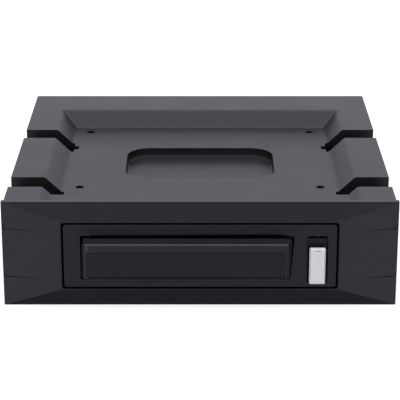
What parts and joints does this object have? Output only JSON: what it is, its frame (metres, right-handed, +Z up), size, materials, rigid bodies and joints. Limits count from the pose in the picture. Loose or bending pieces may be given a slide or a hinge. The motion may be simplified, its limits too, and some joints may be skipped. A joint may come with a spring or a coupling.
{
  "type": "hard drive enclosure",
  "caption": "Black moulded drive-bay enclosure with a faceted bezel and recessed top; a pull-out drive caddy has a swing handle held by a silver sliding latch.",
  "frame": {"origin": "middle of the underside, in the plane of the bezel's back face, where a drive bay's dimensions start", "axes": "+X to the right seen from the front, +Y to the back, into the bay, +Z up"},
  "size_m": [0.148, 0.1474, 0.0413],
  "materials": {
    "housing_plastic": "fine matte black moulding",
    "front_plastic": "satin black moulding",
    "runner_plastic": "plain black moulding",
    "board": "green solder mask on glass laminate",
    "connector_plastic": "black connector resin",
    "chip": "black moulded package",
    "capacitor": "aluminium can",
    "screw_steel": "black zinc",
    "pin_steel": "blackened steel",
    "spring_steel": "bright spring steel",
    "silver": "silver paint, satin"
  },
  "bodies": {
    "housing": {"top_shell": "housing_plastic", "base": "housing_plastic", "bezel": "front_plastic", "left_runner": "runner_plastic", "right_runner": "runner_plastic", "rear_panel": "housing_plastic", "backplane_board": "board", "drive_connector": "connector_plastic", "data_plug": "connector_plastic", "power_plug": "connector_plastic", "controller_chip": "chip", "capacitors": "capacitor", "base_screws": "screw_steel", "runner_screws": "screw_steel", "board_screws": "screw_steel", "rear_screws": "screw_steel"},
    "caddy": {"caddy_front": "front_plastic", "caddy_tray": "runner_plastic", "front_screws": "screw_steel", "handle_pin": "pin_steel", "latch_retainer": "runner_plastic", "latch_spring": "spring_steel"},
    "handle": {"handle": "front_plastic", "handle_inlay": "front_plastic"},
    "latch": {"latch_slider": "runner_plastic", "latch_cap": "silver", "catch_leaf": "spring_steel"}
  },
  "joints": [
    {"name": "caddy_slide", "type": "slide", "parent": "housing", "child": "caddy", "axis": [0, -1, 0], "range_m": [0, 0.105]},
    {"name": "handle_swing", "type": "hinge", "parent": "caddy", "child": "handle", "pos_m": [-0.0416, -0.0031, 0.0189], "axis": [0, 0, -1], "range_deg": [0, 75], "deforming": ["catch_leaf"]},
    {"name": "latch_slide", "type": "slide", "parent": "caddy", "child": "latch", "axis": [0, 0, 1], "range_m": [0, 0.0041], "stiffness_N_per_m": 300, "springref_m": -0.003, "deforming": ["latch_spring"]}
  ]
}
